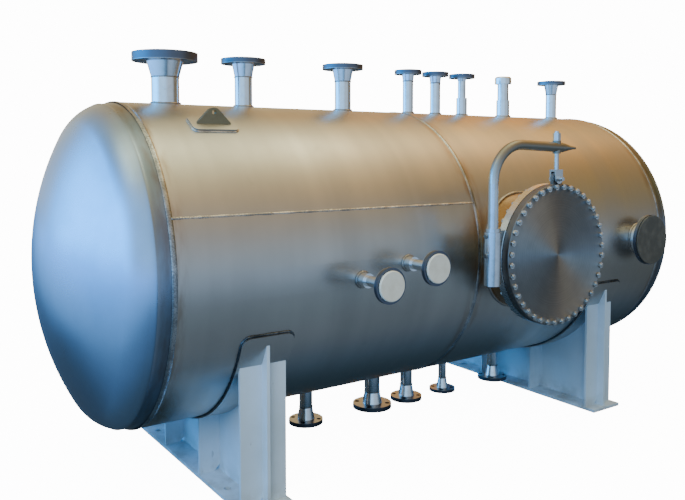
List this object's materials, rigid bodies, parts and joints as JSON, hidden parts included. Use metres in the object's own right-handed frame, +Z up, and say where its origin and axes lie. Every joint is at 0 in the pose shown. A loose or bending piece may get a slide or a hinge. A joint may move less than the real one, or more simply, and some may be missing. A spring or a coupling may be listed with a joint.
{
  "type": "horizontal pressure tank",
  "caption": "Horizontal pressure tank with dished heads on two saddles, flanged nozzles above and below, and a side manway whose cover hangs from a swinging davit.",
  "frame": {"origin": "middle of the left saddle's foot, on the ground", "axes": "+X along the tank towards its right head, +Z up, the manway faces -Y"},
  "size_m": [2.5924, 1.1792, 1.371],
  "materials": {
    "shell_steel": "mill-finish stainless plate",
    "head_steel": "ground stainless plate",
    "nozzle_steel": "turned stainless",
    "flange_steel": "turned stainless",
    "cover_steel": "face-turned stainless",
    "davit_steel": "drawn stainless pipe",
    "lug_steel": "flame-cut plate",
    "saddle_steel": "pale blue-grey paint",
    "cap_plastic": "moulded polyethylene",
    "cover_rubber": "matt rubber sheet",
    "gasket_rubber": "fibre gasket"
  },
  "bodies": {
    "vessel": {"left_shell_course": "shell_steel", "right_shell_course": "shell_steel", "left_head": "head_steel", "right_head": "head_steel", "top_nozzle_1": "nozzle_steel", "top_nozzle_2": "nozzle_steel", "top_nozzle_3": "nozzle_steel", "top_nozzle_4": "nozzle_steel", "top_nozzle_5": "nozzle_steel", "top_nozzle_6": "nozzle_steel", "top_nozzle_7": "nozzle_steel", "top_nozzle_8": "nozzle_steel", "bottom_nozzle_1": "nozzle_steel", "bottom_nozzle_2": "nozzle_steel", "bottom_nozzle_3": "nozzle_steel", "bottom_nozzle_4": "nozzle_steel", "bottom_nozzle_5": "nozzle_steel", "top_nozzle_7_cap": "nozzle_steel", "nozzle_couplings": "nozzle_steel", "shell_seam_welds": "shell_steel", "front_nozzle_1": "nozzle_steel", "front_nozzle_2": "nozzle_steel", "front_nozzle_1_cap": "cap_plastic", "front_nozzle_2_cap": "cap_plastic", "side_nozzle": "nozzle_steel", "side_nozzle_cover": "cover_rubber", "manway_neck": "shell_steel", "manway_flange": "flange_steel", "manway_gasket": "gasket_rubber", "davit_socket": "davit_steel", "front_lifting_lug": "lug_steel", "rear_lifting_lug": "lug_steel", "front_lifting_lug_doubler": "shell_steel", "rear_lifting_lug_doubler": "shell_steel", "left_saddle_web": "saddle_steel", "left_saddle_ribs": "saddle_steel", "left_saddle_foot": "saddle_steel", "left_saddle_wear_pad": "shell_steel", "right_saddle_web": "saddle_steel", "right_saddle_ribs": "saddle_steel", "right_saddle_foot": "saddle_steel", "right_saddle_wear_pad": "shell_steel"},
    "davit": {"davit_arm": "davit_steel", "davit_hanger": "davit_steel", "manway_cover": "cover_steel"}
  },
  "joints": [
    {"name": "davit_swing", "type": "hinge", "parent": "vessel", "child": "davit", "pos_m": [0.73, -0.6393, 0.783], "axis": [0, 0, -1], "range_deg": [0, 120]}
  ]
}
